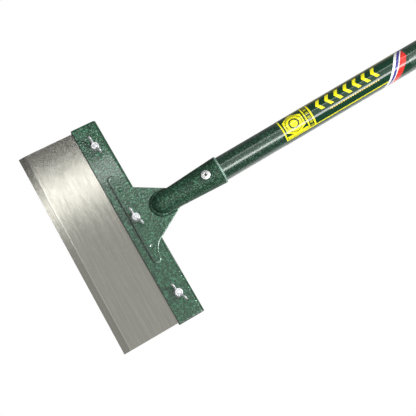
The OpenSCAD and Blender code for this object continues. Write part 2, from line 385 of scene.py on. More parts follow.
class Graph:
    """One material's nodes, with a Principled shader at their end."""

    def __init__(self, name: str) -> None:
        """Makes an empty material."""
        self.material = bpy.data.materials.new(name)
        self.material.use_nodes = True
        self.tree = self.material.node_tree
        self.tree.nodes.clear()

    def node(self, kind: str, settings: dict[str, object] | None = None,
             inputs: dict[Union[int, str], object] | None = None,
             out: Union[int, str] = 0) -> Signal:
        """Adds one node.

        Args:
            kind: The node's type.
            settings: Its properties, set first.
            inputs: Values or links of its sockets, by name or number.
            out: The output that is wanted.

        Returns:
            That output as a signal.
        """
        made = self.tree.nodes.new(kind)
        for key, value in (settings or {}).items():
            setattr(made, key, value)
        for key, value in (inputs or {}).items():
            self.feed(made.inputs[key], value)
        return Signal(self, made.outputs[out] if made.outputs else None)

    def feed(self, socket: bpy.types.NodeSocket, value: object) -> None:
        """Links a signal to a socket, or sets its value."""
        if isinstance(value, Signal):
            self.tree.links.new(value.socket, socket)
        elif socket.type == "RGBA":
            socket.default_value = (*value, 1.0)
        else:
            socket.default_value = value

    def place(self, scale: Sequence[float] = (1, 1, 1), turn: Sequence[float] = (0, 0, 0),
              shift: Sequence[float] = (0, 0, 0)) -> Signal:
        """Object coordinates in metres, through a Mapping node."""
        source = self.node("ShaderNodeTexCoord", out="Object")
        return self.node("ShaderNodeMapping", {"vector_type": "POINT"}, {
            "Vector": source, "Scale": scale, "Rotation": turn, "Location": shift})

    def part(self, vector: Signal, axis: int) -> Signal:
        """One coordinate of a vector: 0 for X, 1 for Y, 2 for Z."""
        return self.node("ShaderNodeSeparateXYZ", None, {0: vector}, axis)

    def channel(self, colour: Signal, index: int) -> Signal:
        """One channel of a colour: 0 for red, 1 for green, 2 for blue."""
        return self.node("ShaderNodeSeparateColor", None, {"Color": colour}, index)

    def noise(self, at: Signal, scale: float, detail: float = 2.0, rough: float = 0.5,
              out: str = "Fac") -> Signal:
        """Noise with about scale lumps to a metre, from 0 to 1."""
        return self.node("ShaderNodeTexNoise", {"noise_dimensions": "3D"}, {
            "Vector": at, "Scale": scale, "Detail": detail, "Roughness": rough}, out)

    def cells(self, at: Signal, scale: float, feature: str = "F1", out: str = "Distance") -> Signal:
        """Voronoi cells, scale of them to a metre."""
        inputs = {"Vector": at, "Scale": scale}
        return self.node("ShaderNodeTexVoronoi", {"feature": feature}, inputs, out)

    def vector(self, operation: str, inputs: dict[Union[int, str], object]) -> Signal:
        """One Vector Math node."""
        return self.node("ShaderNodeVectorMath", {"operation": operation}, inputs)

    def shifted(self, at: Signal, by: Signal, amount: float) -> Signal:
        """A place moved by a noise colour, up to half of amount each way."""
        centred = self.vector("SUBTRACT", {0: by, 1: (0.5, 0.5, 0.5)})
        return self.vector("ADD", {0: at, 1: self.vector("SCALE", {0: centred, "Scale": amount})})

    def mix(self, share: Value, first: Union[Colour, Signal],
            second: Union[Colour, Signal]) -> Signal:
        """Colour from first to second as share goes from 0 to 1."""
        return self.node("ShaderNodeMix", {"data_type": "RGBA"}, {0: share, 6: first, 7: second}, 2)

    def bump(self, height: Signal, distance: float, strength: float = 1.0,
             under: Signal | None = None) -> Signal:
        """Normal of a surface raised by height times distance."""
        inputs = {"Height": height, "Distance": distance, "Strength": strength}
        if under is not None:
            inputs["Normal"] = under
        return self.node("ShaderNodeBump", None, inputs, "Normal")

    def surface(self, **inputs: object) -> bpy.types.Material:
        """Ends the graph in a Principled shader; underscores in names stand for spaces."""
        shader = self.node("ShaderNodeBsdfPrincipled", None,
                           {key.replace("_", " "): value for key, value in inputs.items()})
        self.node("ShaderNodeOutputMaterial", None, {"Surface": shader})
        return self.material


# ---- Finishes ----


@dataclass(frozen=True)
class HammeredEnamel:
    """Stoved hammer paint: shallow pools with dark rims, metal flake with painted glints, and
    painted highlights and painted shade along marked edges.
    """

    name: str
    pool: Colour
    rim: Colour
    # Colour of the lighter specks: metal flake, partly a painted glint.
    flake_and_glint: Colour
    cell: float
    relief: float
    roughness: float
    coat: float
    specular: float = 0.9
    # Painted highlight colour for rims marked positive, and painted shade colour, nearly black, for
    # edges marked -1.
    painted_rim_highlight: Colour = (0.30, 0.44, 0.37)
    painted_edge_shade: Colour = (0.004, 0.010, 0.007)

    def material(self) -> bpy.types.Material:
        """Builds the node material."""
        g = Graph(self.name)
        at = g.place()
        wobble = g.noise(at, 0.7 / self.cell, 2.0, 0.5, "Color")
        bent = g.shifted(at, wobble, 1.1 * self.cell)
        dome = g.cells(bent, 1 / self.cell, "SMOOTH_F1")
        groove = g.cells(bent, 1 / self.cell, "DISTANCE_TO_EDGE")
        grey = g.channel(g.cells(bent, 1 / self.cell, "F1", "Color"), 0)
        spark = g.channel(g.cells(bent, 1.9 / self.cell, "F1", "Color"), 1)
        speck = g.noise(at, 3.0 / self.cell, 2.0, 0.6)
        cloud = g.noise(at, 22.0, 3.0, 0.55)
        crevice = 1 - groove.step(0.02, 0.26)
        # Lighter specks: partly metal flake, partly painted glints that stand in for highlights off
        # the hammered bumps.
        glint = spark.step(0.64, 0.76) * (grey * 0.7 + speck).step(0.40, 0.85)
        rim = g.node("ShaderNodeAttribute", {"attribute_name": "rim"}, out="Fac")
        # Painted shade: nearly black where the attribute rim is negative; the roughness also rises
        # there.
        painted_edge_shade = (0 - rim).step(0.25, 0.7)
        body = g.mix(crevice * 0.9, self.pool, self.rim)
        body = g.mix(glint * 0.7, body, self.flake_and_glint)
        body = g.mix(cloud.step(0.35, 0.75) * 0.18, body, self.rim)
        # Painted highlight: lighter colour where the attribute rim is positive.
        body = g.mix(rim.band(0.15, 0.95, 0.12) * 0.8, body, self.painted_rim_highlight)
        body = g.mix(painted_edge_shade * 0.9, body, self.painted_edge_shade)
        rough = (self.roughness + crevice * 0.16 + (cloud - 0.5) * 0.12 + painted_edge_shade * 0.4).clamped()
        coarse = g.bump(1 - dome - crevice * 0.35, self.relief * 0.8)
        fine = g.bump(speck, self.relief * 0.05, 0.5, coarse)
        return g.surface(Base_Color=body, Roughness=rough, Metallic=0.18, Normal=fine,
                         Coat_Weight=self.coat, Coat_Roughness=0.08,
                         Specular_IOR_Level=self.specular)


@dataclass(frozen=True)
class BrushedSteel:
    """Rolled and brushed spring steel, its grain along X, with a ground bevel along its edge and a
    painted highlight along the bevel's upper line.
    """

    name: str = "Brushed steel, grain along the edge"
    light: Colour = (0.53, 0.522, 0.462)
    dark: Colour = (0.27, 0.264, 0.230)
    scuffed: Colour = (0.62, 0.62, 0.60)
    stained: Colour = (0.23, 0.215, 0.19)
    ground_light: Colour = (0.40, 0.392, 0.345)
    ground_dark: Colour = (0.22, 0.216, 0.19)
    # Painted highlight colour for the line where the bevel meets the flat.
    corner: Colour = (0.66, 0.65, 0.60)
    edge_y: float = -692.9 * MM
    bevel: float = 8.8 * MM
    line: float = 1.1 * MM
    soft: float = 0.3 * MM

    def material(self) -> bpy.types.Material:
        """Builds the node material."""
        g = Graph(self.name)
        fibre = g.noise(g.place(scale=(0.018, 1, 1)), 2600.0, 3.0, 0.65)
        streak = g.noise(g.place(scale=(0.03, 1, 1), shift=(0.4, 0, 0)), 420.0, 2.0, 0.5)
        sheen = g.noise(g.place(scale=(0.25, 1, 1)), 38.0, 2.0, 0.5)
        scuff_at = g.place(scale=(0.12, 1, 1), turn=(0, 0, math.radians(7)))
        scuff = g.noise(scuff_at, 900.0, 2.0, 0.7).step(0.66, 0.78)
        stain = g.noise(g.place(), 30.0, 4.0, 0.6).step(0.56, 0.8)
        tone = (fibre * 0.50 + streak * 0.50 + sheen * 0.15 - 0.08).clamped()
        inward = g.part(g.place(), 1) - self.edge_y
        bevel = 1 - inward.step(self.bevel - self.soft, self.bevel + self.soft)
        # Painted highlight: a lighter line along the bevel's upper edge, where that edge catches
        # the light.
        corner = inward.band(self.bevel, self.bevel + self.line, self.soft)
        body = g.mix(tone, self.dark, self.light)
        body = g.mix(scuff * 0.35, body, self.scuffed)
        body = g.mix(stain * 0.10, body, self.stained)
        body = g.mix(bevel, body, g.mix(tone, self.ground_dark, self.ground_light))
        body = g.mix(corner * 0.4, body, self.corner)
        rough = (0.10 + fibre * 0.05 + streak * 0.04).clamped()
        lines = g.bump(fibre, 0.06 * MM, 0.6)
        lines = g.bump(streak + scuff * 0.4, 0.03 * MM, 0.4, lines)
        return g.surface(Base_Color=body, Roughness=rough, Metallic=0.92, Normal=lines,
                         Specular_IOR_Level=0.5)


@dataclass(frozen=True)
class PlatedMetal:
    """Cast or headed metal with a bright plating: soft mottling, pits and dulled hollows."""

    name: str
    light: Colour
    dark: Colour
    roughness: float
    metallic: float = 0.95
    grain: float = 900.0

    def material(self) -> bpy.types.Material:
        """Builds the node material."""
        g = Graph(self.name)
        at = g.place()
        mottle = g.noise(at, self.grain * 0.35, 3.0, 0.55)
        grit = g.noise(at, self.grain * 2.2, 2.0, 0.6)
        shade = g.channel(g.cells(at, self.grain, "F1", "Color"), 0)
        body = g.mix((mottle * 0.9 + shade * 0.25 - 0.1).clamped(), self.dark, self.light)
        rough = (self.roughness + (1 - mottle) * 0.14 + grit * 0.05).clamped()
        normal = g.bump(mottle + grit * 0.3, 0.06 * MM, 0.5)
        return g.surface(Base_Color=body, Roughness=rough, Metallic=self.metallic, Normal=normal)


@dataclass(frozen=True)
class MouldedPlastic:
    """Black moulded plastic with a spark-eroded grain and a little dust."""

    name: str = "Moulded black plastic"
    body: Colour = (0.018, 0.018, 0.019)
    dust: Colour = (0.11, 0.105, 0.10)

    def material(self) -> bpy.types.Material:
        """Builds the node material."""
        g = Graph(self.name)
        at = g.place()
        grain = g.cells(at, 1900.0, "SMOOTH_F1")
        cloud = g.noise(at, 90.0, 4.0, 0.6)
        tint = g.mix(cloud.step(0.5, 0.8) * 0.35, self.body, self.dust)
        rough = (0.46 + cloud * 0.2).clamped()
        return g.surface(Base_Color=tint, Roughness=rough, Metallic=0.0,
                         Normal=g.bump(grain, 0.05 * MM, 0.5))


@dataclass(frozen=True)
class LabelPrint:
    """Printed film: a nut sign, chevrons, a ruled frame and slanted end stripes.

    Along is the distance from the film's start and across the arc from the top of the handle,
    both read from the film's own texture places. All lengths but the first two are millimetres.
    """

    length: float
    girth: float
    name: str = "Printed label film"
    field_colour: Colour = (0.003, 0.036, 0.016)
    field_shade: Colour = (0.008, 0.034, 0.018)
    yellow: Colour = (0.86, 0.80, 0.015)
    amber: Colour = (0.62, 0.42, 0.015)
    red: Colour = (0.62, 0.035, 0.025)
    blue: Colour = (0.06, 0.05, 0.26)
    white: Colour = (0.78, 0.79, 0.77)
    rubbed: Colour = (0.05, 0.06, 0.05)
    soft: float = 0.35
    start_line: Span = (0.5, 2.5)
    bars: tuple[Span, ...] = ((36.0, 38.0), (45.0, 47.4))
    side_line: Span = (17.2, 18.8)
    side_run: Span = (0.0, 176.0)
    side_start: float = 0.6
    sign_middle: float = 19.3
    nut_half: float = 14.2
    nut_rings: tuple[Span, ...] = ((5.4, 7.6), (11.2, 12.2))
    foot_run: Span = (3.4, 35.2)
    foot_side: Span = (13.0, 16.6)
    chevron_start: float = 54.5
    chevron_pitch: float = 14.6
    chevron_stroke: Span = (2.0, 7.4)
    chevron_side: Span = (-13.4, 3.0)
    chevron_middle: float = -5.2
    chevron_slope: float = 0.62
    chevron_count: int = 7
    dash_pitch: float = 3.7
    dash: Span = (0.5, 2.9)
    dash_run: Span = (72.0, 152.0)
    dash_side: Span = (7.2, 8.9)
    block_pitch: float = 6.4
    block: Span = (1.2, 5.2)
    block_run: Span = (39.4, 43.6)
    block_side: float = 16.0
    stripe_slope: float = 0.8

    def frame_lines(self, along: Signal, across: Signal, slant: Signal) -> Signal:
        """The start line, the two long lines and the two cross bars."""
        side = across.abs()
        lines = side.band(*self.side_line, self.soft) * slant.band(*self.side_run, self.soft)
        lines = lines * along.band(self.side_start, self.length / MM, self.soft)
        for span in (self.start_line, *self.bars):
            lines += along.band(*span, self.soft) * side.band(-1.0, self.side_line[1], self.soft)
        return lines.clamped()

    def sign(self, along: Signal, across: Signal) -> Signal:
        """A solid hexagon with two round rings left out, a nut seen from above, on a solid foot
        strip. A point is inside the hexagon when it is inside all three pairs of flats."""
        x, y = (along - self.sign_middle).abs(), across.abs()
        flats = (x * math.cos(math.pi / 3) + y * math.cos(math.pi / 6)).math("MAXIMUM", x)
        round_off = (x * x + y * y).math("SQRT")
        nut = flats.band(-1.0, self.nut_half, self.soft)
        for ring in self.nut_rings:
            nut = nut * (1 - round_off.band(*ring, self.soft))
        foot = along.band(*self.foot_run, self.soft) * across.band(*self.foot_side, self.soft)
        return (nut + foot).clamped()

    def chevrons(self, along: Signal, across: Signal) -> Signal:
        """Bold arrowheads in a row: strokes that fall back with the distance from their middle."""
        bend = (across - self.chevron_middle).abs() * self.chevron_slope
        place = along - self.chevron_start - bend
        row = place.band(0.0, self.chevron_count * self.chevron_pitch, self.soft)
        stroke = place.wrapped(self.chevron_pitch).band(*self.chevron_stroke, self.soft)
        return stroke * across.band(*self.chevron_side, self.soft) * row

    def dashes(self, along: Signal, across: Signal) -> Signal:
        """A thin broken line below the arrowheads."""
        dash = along.wrapped(self.dash_pitch).band(*self.dash, self.soft)
        return (dash * across.band(*self.dash_side, self.soft)
                * along.band(*self.dash_run, self.soft))

    def blocks(self, along: Signal, across: Signal) -> Signal:
        """Small squares between the two cross bars."""
        block = across.wrapped(self.block_pitch).band(*self.block, self.soft)
        return (block * along.band(*self.block_run, self.soft)
                * across.abs().band(-1.0, self.block_side, self.soft))

    def material(self) -> bpy.types.Material:
        """Builds the node material."""
        g = Graph(self.name)
        source = g.node("ShaderNodeTexCoord", out="UV")
        along = g.part(source, 0) * (self.length / MM)
        across = (g.part(source, 1) - 0.5) * (self.girth / MM)
        slant = along + across * self.stripe_slope
        shade = g.noise(g.place(), 60.0, 3.0, 0.5)
        wear = g.noise(g.place(), 260.0, 4.0, 0.65)
        body = g.mix(shade * 0.4, self.field_colour, self.field_shade)
        prints = [(self.frame_lines(along, across, slant), self.yellow),
                  (self.sign(along, across), self.yellow),
                  (self.chevrons(along, across), self.yellow),
                  (self.dashes(along, across), self.amber),
                  (self.blocks(along, across) * 0.45, self.yellow)]
        stripes = (((177.0, 181.5), self.white), ((181.5, 186.0), self.blue),
                   ((186.0, 188.0), self.white), ((188.0, 198.5), self.red))
        prints += [(slant.band(*span, self.soft), colour) for span, colour in stripes]
        for share, colour in prints:
            body = g.mix(share, body, colour)
        body = g.mix(wear.step(0.68, 0.86) * 0.25, body, self.rubbed)
        ripple = g.bump(g.noise(g.place(), 170.0, 3.0, 0.5), 0.06 * MM, 0.5)
        return g.surface(Base_Color=body, Roughness=(0.12 + wear * 0.10).clamped(), Metallic=0.0,
                         Normal=ripple, Coat_Weight=1.0, Coat_Roughness=0.05)


class Finish(Enum):
    """The finishes, each with the slot of the record that it belongs to."""

    BLADE = ("blade_steel", BrushedSteel())
    ENAMEL = ("hammered_enamel", HammeredEnamel(
        "Hammered green enamel", pool=(0.023, 0.100, 0.049), rim=(0.005, 0.026, 0.012),
        flake_and_glint=(0.060, 0.195, 0.112), cell=4.0 * MM, relief=0.27 * MM, roughness=0.08, coat=0.8))
    # Painted shade: the socket shares the holder's enamel slot, but its pool colour is about 0.57
    # times as bright.
    SOCKET = ("hammered_enamel", HammeredEnamel(
        "Socket green enamel with painted shade", pool=(0.013, 0.058, 0.028), rim=(0.004, 0.020, 0.009),
        flake_and_glint=(0.07, 0.20, 0.12), cell=3.0 * MM, relief=0.50 * MM, roughness=0.40, coat=0.05,
        specular=0.45))
    HANDLE = ("handle_enamel", HammeredEnamel(
        "Handle green enamel", pool=(0.011, 0.050, 0.026), rim=(0.004, 0.020, 0.010),
        flake_and_glint=(0.05, 0.14, 0.09), cell=2.6 * MM, relief=0.13 * MM, roughness=0.18, coat=1.0))
    ZINC = ("zinc_hardware", PlatedMetal(
        "Bright zinc plate", (0.82, 0.83, 0.84), (0.48, 0.49, 0.51), 0.32, metallic=0.55))
    RIVET = ("rivet_aluminium", PlatedMetal(
        "Rivet aluminium", (0.88, 0.88, 0.87), (0.66, 0.66, 0.66), 0.33))
    MANDREL = ("mandrel_steel", PlatedMetal(
        "Broken mandrel steel", (0.16, 0.15, 0.145), (0.05, 0.047, 0.045), 0.5))
    PLUG = ("plug_plastic", MouldedPlastic())
    LABEL = ("label_film", LabelPrint(LABEL_LENGTH, LABEL_WRAP * (LABEL_UNDER + LABEL_FILM)))

    @property
    def slot(self) -> str:
        """Name of the record's material slot."""
        return self.value[0]

    def material(self) -> bpy.types.Material:
        """The finish's material, made once."""
        recipe = self.value[1]
        return bpy.data.materials.get(recipe.name) or recipe.material()


# ---- Places ----


@dataclass(frozen=True)
class Places:
    """Sizes that several pieces share, and the ways from the two local frames to the model's."""

    handle_angle: float = math.radians(12)
    foot_y: float = 140 * MM
    foot_radius: float = 15 * MM
    bolt_y: float = 99 * MM
    bolt_spacing: float = 116 * MM
    tongue_end: float = 160 * MM
    holder_top: float = 4.1 * MM
    gusset_top: float = 7.1 * MM
    socket_length: float = 93 * MM

    @property
    def foot(self) -> Array:
        """Centre of the socket's foot, from the boxes of the socket and the tube."""
        low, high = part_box("handle_tube")
        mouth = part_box("socket")[1].y
        return np.array([(low.x + high.x) / 2, mouth - self.socket_length, (low.z + high.z) / 2])

    def head(self, p: Array) -> Array:
        """From the head frame: shift to the foot, then turn by the handle angle about X."""
        c, s = math.cos(self.handle_angle), math.sin(self.handle_angle)
        y, z = p[..., 1] - self.foot_y, p[..., 2] - self.gusset_top
        return joined(p[..., 0], y * c + z * s, z * c - y * s) + self.foot

    def to_head(self, p: Array) -> Array:
        """Into the head frame: the turn and shift undone."""
        x, y, z = (p - self.foot).T
        c, s = math.cos(self.handle_angle), math.sin(self.handle_angle)
        return joined(x, y * c - z * s + self.foot_y, y * s + z * c + self.gusset_top)

    def handle(self, p: Array) -> Array:
        """From the handle frame."""
        return p + self.foot

    def along(self, p: Array) -> Array:
        """From a lathe's frame, whose Z becomes the handle's direction: (x, y, z) to (y, z, x)."""
        return joined(p[..., 1], p[..., 2], p[..., 0]) + self.foot


@dataclass
class Assembly:
    """What every sub-assembly has: the places, its body and the list of its finished pieces."""

    places: Places
    body: str = "handle_and_holder"
    pieces: list[bpy.types.Object] = field(default_factory=list)

    def dress(self, made: bpy.types.Object, finish: Finish, body: str, *nodes: str) -> None:
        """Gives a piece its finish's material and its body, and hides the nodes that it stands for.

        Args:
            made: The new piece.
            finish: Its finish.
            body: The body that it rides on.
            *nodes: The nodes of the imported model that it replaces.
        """
        made.data.materials.clear()
        made.data.materials.append(finish.material())
        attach(made, body)
        finish.slot
        if nodes:
            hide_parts(*nodes)
        self.pieces.append(made)


# ---- Blade ----


@dataclass
class Blade(Assembly):
    """The steel blade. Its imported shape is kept, and it gets its brushed finish."""

    def build(self) -> None:
        """Gives the blade its material."""
        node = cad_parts["blade"]
        node.data.materials.clear()
        node.data.materials.append(Finish.BLADE.material())
        Finish.BLADE.slot
        self.pieces.append(node)


# ---- Holder and gusset ----


@dataclass
class Holder(Assembly):
    """One plate folded round the blade's back edge, and the gusset plate on top of it."""

    half_width: float = 153 * MM
    front_y: float = 80 * MM
    back_y: float = 118 * MM
    plate: float = 4 * MM
    middle_z: float = -1.25 * MM
    inner_radius: float = 1.35 * MM
    edge: float = 1.1 * MM
    hole_radius: float = 3.3 * MM
    neck_side: float = 6.4 * MM
    neck_play: float = 0.1 * MM
    gusset_front: float = 90 * MM
    ear_radius: float = 6.2 * MM
    ear_x: float = 62.3 * MM
    flank_half_width: float = 39.5 * MM
    flank_angle: float = math.radians(30)
    hollow_radius: float = 25 * MM
    dimple_x: float = 45 * MM
    dimple_radius: float = 3.5 * MM
    dimple_depth: float = 0.7 * MM
    dimple_ring: float = 0.16 * MM

    @property
    def fold_radius(self) -> float:
        """Radius of the fold's middle line."""
        return self.inner_radius + self.plate / 2

    @property
    def leaf(self) -> float:
        """Length of each flat leaf."""
        return self.back_y - self.inner_radius - self.plate - self.front_y

    def folded_plate(self) -> Shell:
        """The folded plate.

        A rounded bar is laid out flat first: at a distance s from its end, the cross-section is a
        rounded rectangle inset by r - sqrt(r^2 - (r - s)^2). It is then bent along the fold's
        middle line, which is straight, turns half a circle and runs straight back.
        """
        bend = math.pi * self.fold_radius
        inset, run = quarter(self.edge, 6)
        straight = np.linspace(self.edge, self.leaf, 12)[1:]
        curve = np.linspace(self.leaf, self.leaf + bend, 22)[1:-1]
        first = np.concatenate([[0.0], run, straight, curve])
        s = np.concatenate([first, (2 * self.leaf + bend - first)[::-1][len(curve):]])
        inset = np.concatenate([[self.edge], inset, np.zeros(len(straight) + len(curve))])
        inset = np.concatenate([inset, inset[::-1][len(curve):]])
        flat = np.ones(len(s))
        flat[[0, -1]] = 0.0
        return Shell().grid(self.sections(s, inset, flat), loop_columns=True)

    def sections(self, s: Array, inset: Array, flat: Array) -> Array:
        """The bar's cross-sections, bent.

        Args:
            s: Distance of each section along the plate.
            inset: How far each section is drawn in.
            flat: 1 for a full section and 0 for one that closes the end.

        Returns:
            Points, as sections x points x 3.
        """
        turn = np.linspace(0, QUARTER, 6)[None, :]
        s, inset = s[:, None], inset[:, None]
        round_off = self.edge - inset
        w, t = self.half_width - inset, self.plate / 2 - inset
        flat_x = (w - round_off) * np.linspace(-1, 1, 121)[None, 1:-1]
        side_x = w - round_off + round_off * np.sin(turn)
        side_h = t - round_off + round_off * np.cos(turn)
        flat_h = 0 * flat_x + t
        x = np.hstack([flat_x, side_x, side_x[:, ::-1], -flat_x, -side_x, -side_x[:, ::-1]])
        h = np.hstack([flat_h, side_h, -side_h[:, ::-1], -flat_h, -side_h, side_h[:, ::-1]])
        h = h * flat[:, None]
        angle = np.clip((s - self.leaf) / self.fold_radius, 0, math.pi)
        back = np.maximum(s - self.leaf - math.pi * self.fold_radius, 0)
        ahead = np.minimum(s, self.leaf)
        y = self.front_y + ahead - back + (self.fold_radius + h) * np.sin(angle)
        return joined(x, y, self.middle_z + (self.fold_radius + h) * np.cos(angle))

    def bolt_cutters(self) -> Shell:
        """Round holes for the upper leaf and square ones for the lower leaf."""
        tool = Shell()
        corner = (self.neck_side / 2 + self.neck_play) * math.sqrt(2)
        bore = pin(self.hole_radius, -1 * MM, 9 * MM, 48)
        square = spun(pin(corner, -9 * MM, -1.5 * MM, 4), math.pi / 4)
        for x in (-self.places.bolt_spacing, 0.0, self.places.bolt_spacing):
            for form in (bore, square):
                tool.grid(form + np.array([x, self.places.bolt_y, 0]), loop_columns=True)
        return tool

    def gusset_outline(self) -> Array:
        """The gusset's outline, anticlockwise from the right end of its front edge.

        Each ear ends in a half circle. Between ear and flank lies the arc of a circle that
        touches both, and the flank is a straight line to the tongue's end.
        """
        r, big, lean = self.ear_radius, self.hollow_radius, math.tan(self.flank_angle)
        centre_y = self.gusset_front + 2 * r + big
        centre_x, end_x = (self.flank_half_width - (y - self.back_y) * lean
                           for y in (centre_y, self.places.tongue_end))
        centre_x += big / math.cos(self.flank_angle)
        tip = np.linspace(-QUARTER, QUARTER, 24)
        ear = joined(self.ear_x + r * np.cos(tip), self.gusset_front + r + r * np.sin(tip))
        turn = np.linspace(-QUARTER, -(math.pi - self.flank_angle), 30)
        hollow = joined(centre_x + big * np.cos(turn), centre_y + big * np.sin(turn))
        right = np.vstack([ear, hollow, [[end_x, self.places.tongue_end]]])
        return np.vstack([right, right[::-1] * np.array([-1, 1])])

    def gusset(self) -> Shell:
        """The gusset plate.

        Every point lies on a straight line from the bolt hole's rim to the outline, at a share
        that grows with the row. The outer rows follow a quarter circle down to the side, and the
        last row joins the first one through the hole. Two shallow round hollows are pressed into
        the top.
        """
        rim = resampled(self.gusset_outline(), 1.0 * MM)
        centre = np.array([0, self.places.bolt_y])
        direction = rim - centre
        direction /= np.linalg.norm(direction, axis=1, keepdims=True)
        hole = centre + direction * self.hole_radius
        into = inwards(rim)
        inset, drop = quarter(self.edge, 6)
        share = np.linspace(0, 1, 62)[:-1, None, None]
        face = hole + share * (rim + into * self.edge - hole)
        top = np.vstack([face, rim + into * inset[:, None, None]])
        z = np.concatenate([np.zeros(len(face)), drop])[:, None]
        upper = joined(top[..., 0], top[..., 1], self.places.gusset_top - z)
        upper[..., 2] -= self.dimples(upper)
        lower = joined(top[..., 0], top[..., 1], self.places.holder_top + z)[::-1]
        return Shell().grid(np.vstack([upper, lower]), loop_rows=True, loop_columns=True)

    def from_dimple(self, p: Array) -> Array:
        """Distance from the nearer weld hollow's middle, in radii of the hollow."""
        x, y = np.abs(p[..., 0]) - self.dimple_x, p[..., 1] - self.places.bolt_y
        return np.hypot(x, y) / self.dimple_radius

    def dimples(self, p: Array) -> Array:
        """Depth of the weld hollows: a bowl that falls with the square of the distance from its
        middle, inside a low raised ring that follows a bell curve."""
        off = self.from_dimple(p)
        bowl = self.dimple_depth * np.clip(1 - off ** 2, 0, None)
        return bowl - self.dimple_ring * np.exp(-((off - 1.15) / 0.16) ** 2)

    def mark_gusset(self, mesh: bpy.types.Mesh) -> None:
        """Marks the top's rounded rim, all but the front, by its depth in edge radii for a painted
        highlight, and the front edge and wall with -1 for painted shade.
        """
        p = self.places.to_head(coordinates(mesh))
        depth = (self.places.gusset_top - p[:, 2]) / self.edge
        depth[(self.from_dimple(p) < 1.6) | (depth > 1.01)] = 0
        # Painted shade along the gusset's front edge.
        depth[p[:, 1] < self.gusset_front + 1.6 * self.edge] = -1
        depth[p[:, 2] < self.places.holder_top + 0.5 * self.edge] = 0
        marked(mesh, np.clip(depth, -1, 1))

    def mark_holder(self, mesh: bpy.types.Mesh) -> None:
        """Marks the last stretch before the folded plate's outline with -1, for a painted dark line
        of shade along it.
        """
        x, y, _ = self.places.to_head(coordinates(mesh)).T
        inside = np.minimum(self.half_width - np.abs(x),
                            np.minimum(y - self.front_y, self.back_y - y))
        # Painted shade: a dark line along the plate's whole outline.
        marked(mesh, -np.clip(1.4 - inside / (1.0 * MM), 0, 1))

    def build(self) -> None:
        """Builds the folded holder and the gusset plate."""
        head = self.places.head
        holder = stood("holder_folded_plate", self.folded_plate().moved(head))
        cut(holder, self.bolt_cutters().moved(head))
        self.mark_holder(holder.data)
        self.dress(holder, Finish.ENAMEL, self.body, "blade_holder")
        gusset = stood("gusset_pressed_plate", self.gusset().moved(head))
        self.mark_gusset(gusset.data)
        self.dress(gusset, Finish.ENAMEL, self.body, "gusset_plate")


# ---- Socket ----


